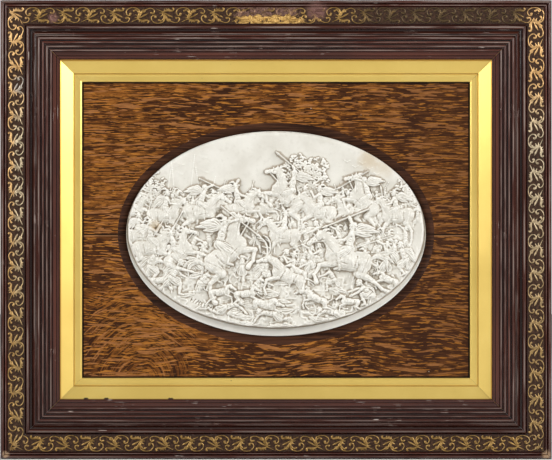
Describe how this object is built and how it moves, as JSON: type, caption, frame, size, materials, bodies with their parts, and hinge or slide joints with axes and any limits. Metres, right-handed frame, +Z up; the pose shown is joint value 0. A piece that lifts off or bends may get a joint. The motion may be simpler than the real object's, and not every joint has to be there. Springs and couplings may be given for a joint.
{
  "type": "framed relief plaque",
  "caption": "Wall plaque: a cream oval relief of a hunt in a chamfered oak mount, inside a gilt bevelled slip and a dark reeded frame with a gilt scroll band.",
  "frame": {"origin": "middle of the flat back, on the backboard, where it meets the wall", "axes": "+Z up, +X to the viewer's right, +Y into the wall; the carved front faces -Y"},
  "size_m": [0.61, 0.0355, 0.508],
  "materials": {
    "cream_casting": "cast ivory-white composition with a soft wax sheen and grey dirt in its hollows",
    "quartered_oak": "quarter-sawn oak with ray fleck, oiled; dark stained chamfer round the oval opening",
    "plain_wood": "bare softwood, aged",
    "gilded_wood": "satin gold leaf over gesso on wood",
    "stained_wood": "reddish-brown stain under worn varnish, rubbed on the beads",
    "gilt_scrolls": "pressed composition ornament, worn gold on dark brown"
  },
  "bodies": {
    "root": {"relief_casting": "cream_casting", "oak_board_upper": "quartered_oak", "oak_board_lower": "quartered_oak", "backboard": "plain_wood", "gilt_slip_top": "gilded_wood", "gilt_slip_bottom": "gilded_wood", "gilt_slip_left": "gilded_wood", "gilt_slip_right": "gilded_wood", "frame_rail_top": "stained_wood", "frame_rail_bottom": "stained_wood", "frame_rail_left": "stained_wood", "frame_rail_right": "stained_wood", "scroll_band_top": "gilt_scrolls", "scroll_band_bottom": "gilt_scrolls", "scroll_band_left": "gilt_scrolls", "scroll_band_right": "gilt_scrolls"}
  },
  "joints": []
}
